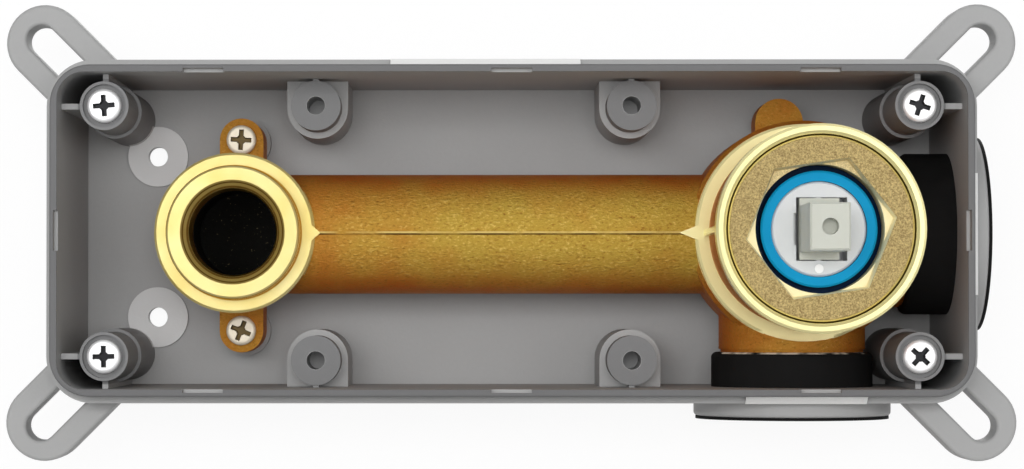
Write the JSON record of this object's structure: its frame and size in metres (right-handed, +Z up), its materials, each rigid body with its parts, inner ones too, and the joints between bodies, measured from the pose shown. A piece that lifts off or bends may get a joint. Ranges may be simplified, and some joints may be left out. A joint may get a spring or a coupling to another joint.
{
  "type": "in-wall basin mixer faucet body",
  "caption": "In-wall single-lever basin mixer body: cast brass outlet, crossover tube and cartridge barrel inside an open-front moulded wall box.",
  "frame": {"origin": "centre of the box's back face, the face laid against the back of the wall chase", "axes": "+X to the right along the box, +Y into the wall, +Z up; the open front faces -Y"},
  "size_m": [0.2122, 0.0875, 0.096],
  "materials": {
    "box_plastic": "fine moulded satin",
    "cast_brass": "sand cast, machined bright at the outlet and rings",
    "nut_brass": "forged grain with a machined chamfer",
    "slip_plastic": "smooth",
    "blue_plastic": "smooth moulded",
    "grey_plastic": "smooth moulded",
    "white_plastic": "smooth moulded",
    "stem_plastic": "smooth moulded",
    "steel_pin": "ground",
    "ceramic_disc": "lapped",
    "seal_rubber": "smooth",
    "bright_steel": "bright plated",
    "yellow_steel": "yellow passivated",
    "black_rubber": "smooth"
  },
  "bodies": {
    "wall_body": {"box_shell": "box_plastic", "valve_body": "cast_brass", "cartridge_nut": "nut_brass", "slip_ring": "slip_plastic", "cartridge_cap": "blue_plastic", "cartridge_base": "grey_plastic", "fixed_disc": "ceramic_disc", "disc_seals": "seal_rubber", "base_seals": "seal_rubber", "corner_screws": "bright_steel", "body_screws": "yellow_steel", "hot_sleeve": "black_rubber", "cold_sleeve": "black_rubber", "hot_ring": "box_plastic", "cold_ring": "box_plastic"},
    "rotor": {"rotor": "white_plastic", "stem_pin": "steel_pin"},
    "lever_stem": {"stem": "stem_plastic"},
    "disc_carrier": {"disc_coupler": "grey_plastic", "moving_disc": "ceramic_disc"}
  },
  "joints": [
    {"name": "temperature_turn", "type": "hinge", "parent": "wall_body", "child": "rotor", "pos_m": [0.0618, -0.06, 0], "axis": [0, -1, 0], "range_deg": [-50, 50]},
    {"name": "lever_tilt", "type": "hinge", "parent": "rotor", "child": "lever_stem", "pos_m": [0.0618, -0.0652, 0], "axis": [0, 0, 1], "range_deg": [0, 25]},
    {"name": "disc_slide", "type": "slide", "parent": "rotor", "child": "disc_carrier", "axis": [1, 0, 0], "range_m": [-0.0035, 0.0001]}
  ],
  "couplings": [
    {"joint": "disc_slide", "follows": "lever_tilt", "m_per_rad": -0.00775}
  ]
}
